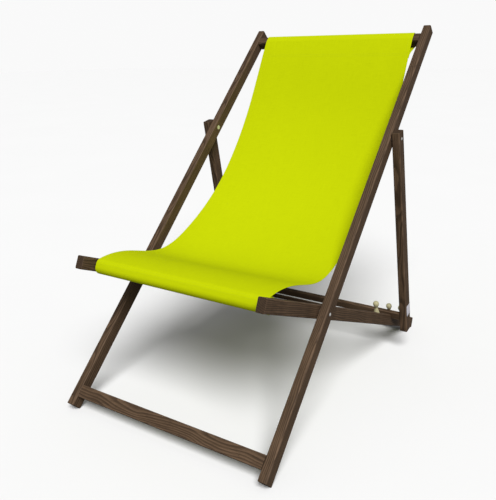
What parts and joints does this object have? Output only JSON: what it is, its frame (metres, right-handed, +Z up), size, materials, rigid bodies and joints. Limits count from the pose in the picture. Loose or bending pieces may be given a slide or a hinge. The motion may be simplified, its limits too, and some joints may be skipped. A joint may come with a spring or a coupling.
{
  "type": "folding deck chair",
  "caption": "Wooden folding deck chair with a lime green canvas sling, standing open, its prop frame resting against turned stop pegs.",
  "frame": {"origin": "on the floor, at the middle of the open chair's outline", "axes": "+X to the sitter's left, +Y to the rear, +Z up"},
  "size_m": [0.5872, 0.8715, 0.8699],
  "materials": {
    "frame_wood": "dark walnut stain, oiled, edges worn lighter",
    "peg_wood": "raw turned beech",
    "sling_cloth": "lime green woven canvas, matt",
    "hinge_steel": "zinc plated",
    "label_film": "blank white film label"
  },
  "bodies": {
    "back_frame": {"back_rail_left": "frame_wood", "back_rail_right": "frame_wood", "lower_stretcher": "frame_wood", "prop_hinge_bolt_left": "hinge_steel", "prop_hinge_bolt_right": "hinge_steel", "prop_hinge_nut_left": "hinge_steel", "prop_hinge_nut_right": "hinge_steel", "prop_hinge_washer_left": "hinge_steel", "prop_hinge_washer_right": "hinge_steel", "seat_hinge_bolt_left": "hinge_steel", "seat_hinge_bolt_right": "hinge_steel", "seat_hinge_nut_left": "hinge_steel", "seat_hinge_nut_right": "hinge_steel", "seat_hinge_washer_left": "hinge_steel", "seat_hinge_washer_right": "hinge_steel", "sling": "sling_cloth", "top_rail": "frame_wood"},
    "seat_frame": {"seat_front_bar": "frame_wood", "seat_rail_left": "frame_wood", "seat_rail_right": "frame_wood", "seat_rear_stretcher": "frame_wood", "stop_peg_left_1": "peg_wood", "stop_peg_left_2": "peg_wood", "stop_peg_left_3": "peg_wood", "stop_peg_right_1": "peg_wood", "stop_peg_right_2": "peg_wood", "stop_peg_right_3": "peg_wood"},
    "prop_frame": {"prop_crossbar": "frame_wood", "prop_rail_left": "frame_wood", "prop_rail_right": "frame_wood"}
  },
  "joints": [
    {"name": "seat_fold", "type": "hinge", "parent": "back_frame", "child": "seat_frame", "pos_m": [0, -0.17491, 0.26189], "axis": [1, 0, 0], "range_deg": [-105, 0], "deforming": ["sling"]},
    {"name": "prop_swing", "type": "hinge", "parent": "back_frame", "child": "prop_frame", "pos_m": [0, 0.15739, 0.59709], "axis": [1, 0, 0], "range_deg": [-52, 0]}
  ],
  "couplings": [
    {"joint": "prop_swing", "follows": "seat_fold", "ratio": 0.4924}
  ]
}
